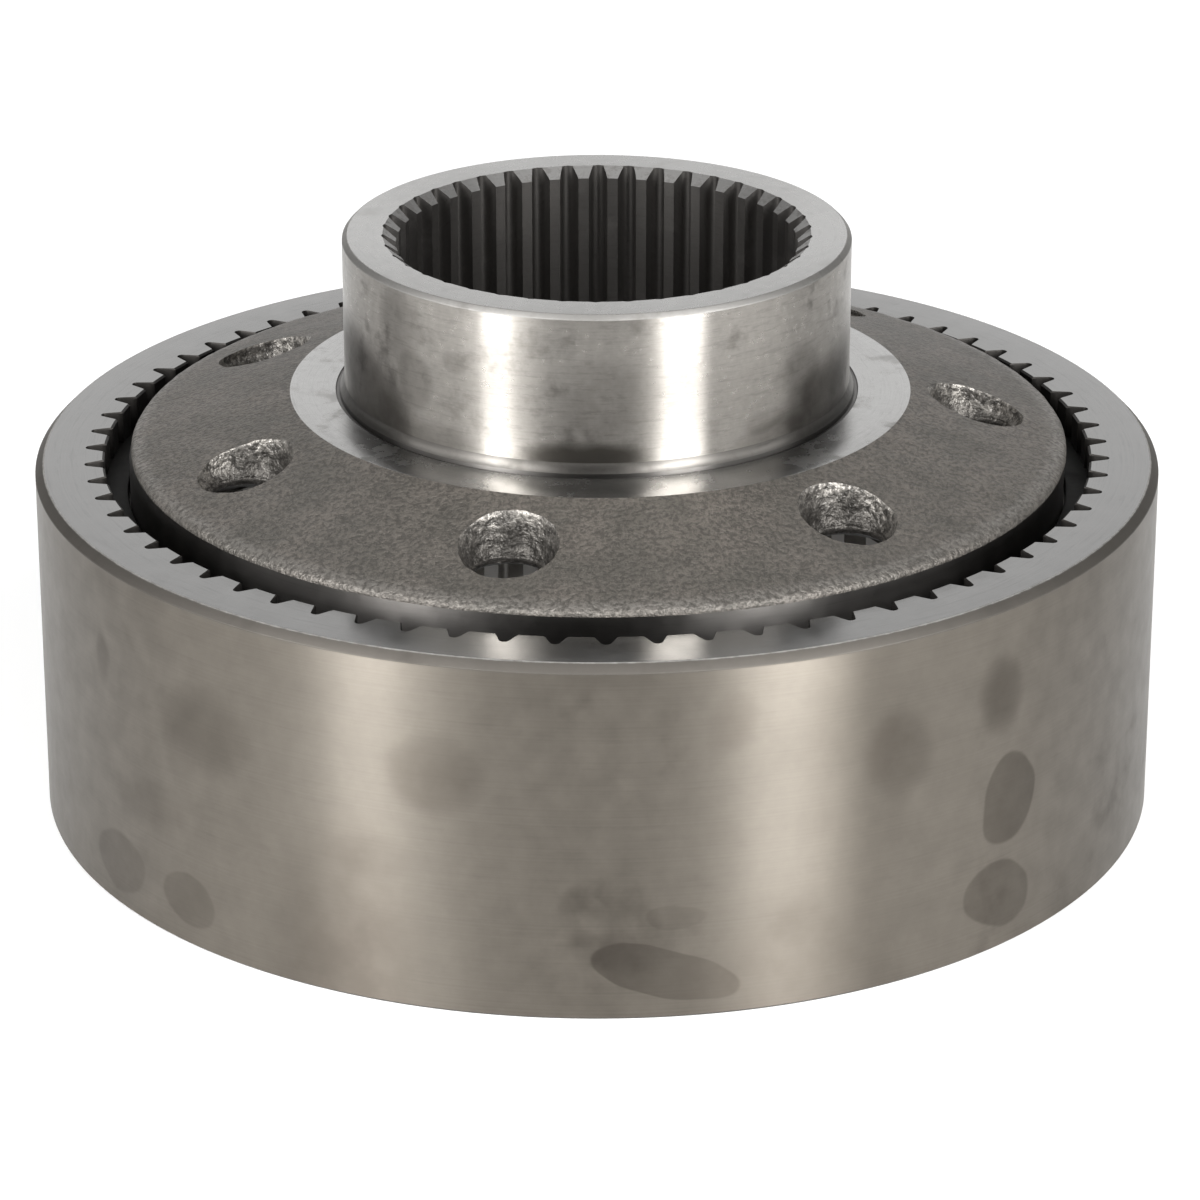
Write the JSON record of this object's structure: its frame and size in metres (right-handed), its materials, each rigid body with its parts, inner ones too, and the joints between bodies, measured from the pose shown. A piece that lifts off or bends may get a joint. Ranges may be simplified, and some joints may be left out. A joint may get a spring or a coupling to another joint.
{
  "type": "internal ring gear with splined hub",
  "caption": "Ring gear with straight internal teeth, carried by a cast hub with cored holes and an internally splined boss, and held by a retaining ring.",
  "frame": {"origin": "on the gear's axis, at the ring gear's lower face, which it stands on", "axes": "+Z along the gear's axis, up through the hub's boss; +X towards one of the web's holes, within a third of a degree"},
  "size_m": [0.29, 0.29, 0.1507],
  "materials": {
    "ring_gear": "turned and ground steel, warm grey, with a thin film of oil and some darker oil stains",
    "hub": "fine sand-cast skin on the web, bright turned steel grey on the boss and its shoulder",
    "retaining_ring": "dark oiled spring steel"
  },
  "bodies": {
    "root": {"ring_gear": "ring_gear", "hub": "hub", "retaining_ring": "retaining_ring"}
  },
  "joints": []
}
